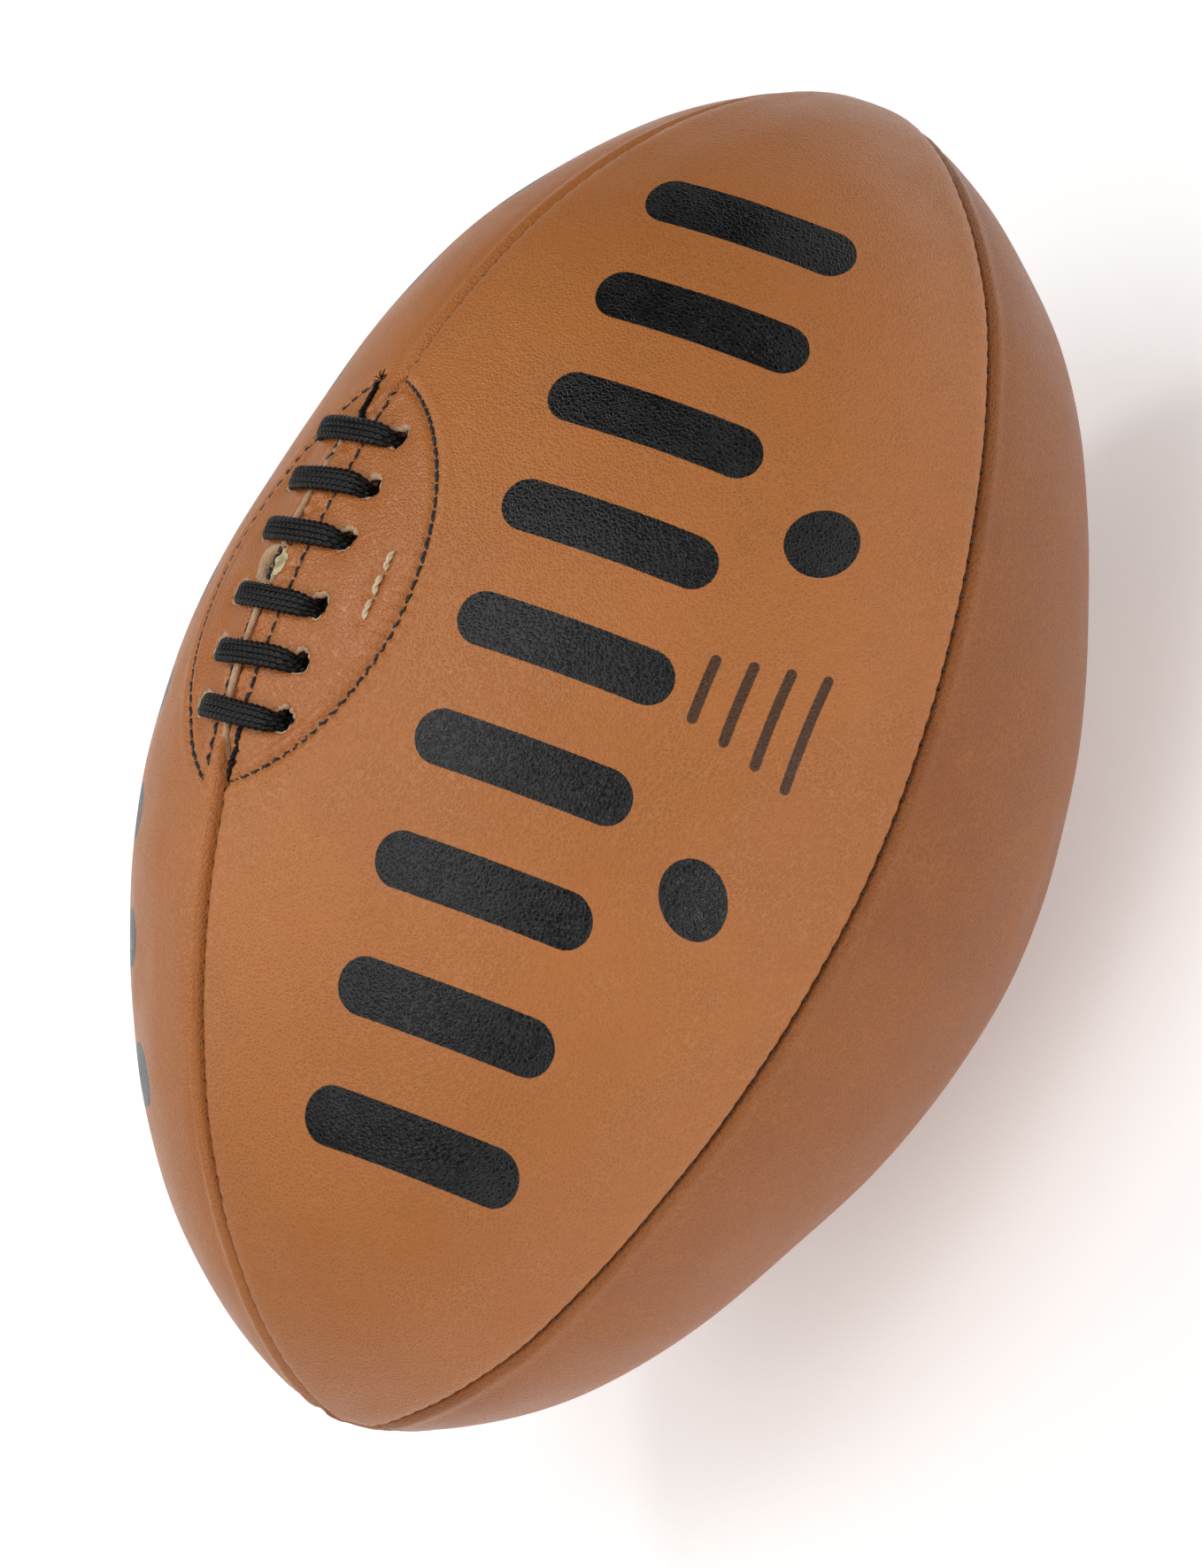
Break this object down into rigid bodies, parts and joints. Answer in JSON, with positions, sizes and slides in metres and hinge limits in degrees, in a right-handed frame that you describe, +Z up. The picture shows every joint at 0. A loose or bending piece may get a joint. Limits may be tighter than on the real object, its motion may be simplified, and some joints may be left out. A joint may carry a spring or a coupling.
{
  "type": "rugby ball",
  "caption": "Oval leather ball of sewn tapering panels over canvas lining and a rubber bladder, with a flat lace through punched holes above a valve opening.",
  "frame": {"origin": "centre of the ball", "axes": "+X along the long axis towards the far tip, +Z up through the middle of the lacing, -Y through the front seam"},
  "size_m": [0.2958, 0.1848, 0.1877],
  "materials": {
    "leather": "satin pebbled tan leather",
    "lining": "plain woven canvas",
    "thread": "waxed black thread",
    "raw_leather": "undyed flesh side",
    "lace": "waxed black braid",
    "twine": "twisted cream twine",
    "bladder": "matte rubber",
    "valve": "glossy pale rubber"
  },
  "bodies": {
    "root": {"panel_front_top": "leather", "panel_back_top": "leather", "panel_back_bottom": "leather", "panel_front_bottom": "leather", "lining_front_top": "lining", "lining_back_top": "lining", "lining_back_bottom": "lining", "lining_front_bottom": "lining", "seam_thread_back": "thread", "seam_thread_bottom": "thread", "seam_thread_front": "thread", "seam_thread_top_near": "thread", "seam_thread_top_far": "thread", "cross_seam_thread_near": "thread", "cross_seam_thread_far": "thread", "facing_thread_front_outer": "thread", "facing_thread_front_inner": "thread", "facing_thread_back_outer": "thread", "facing_thread_back_inner": "thread", "facing_front": "raw_leather", "facing_back": "raw_leather", "tongue": "raw_leather", "lace": "lace", "tongue_twine": "twine", "bladder": "bladder", "valve_body": "valve", "valve_plug": "valve"}
  },
  "joints": []
}
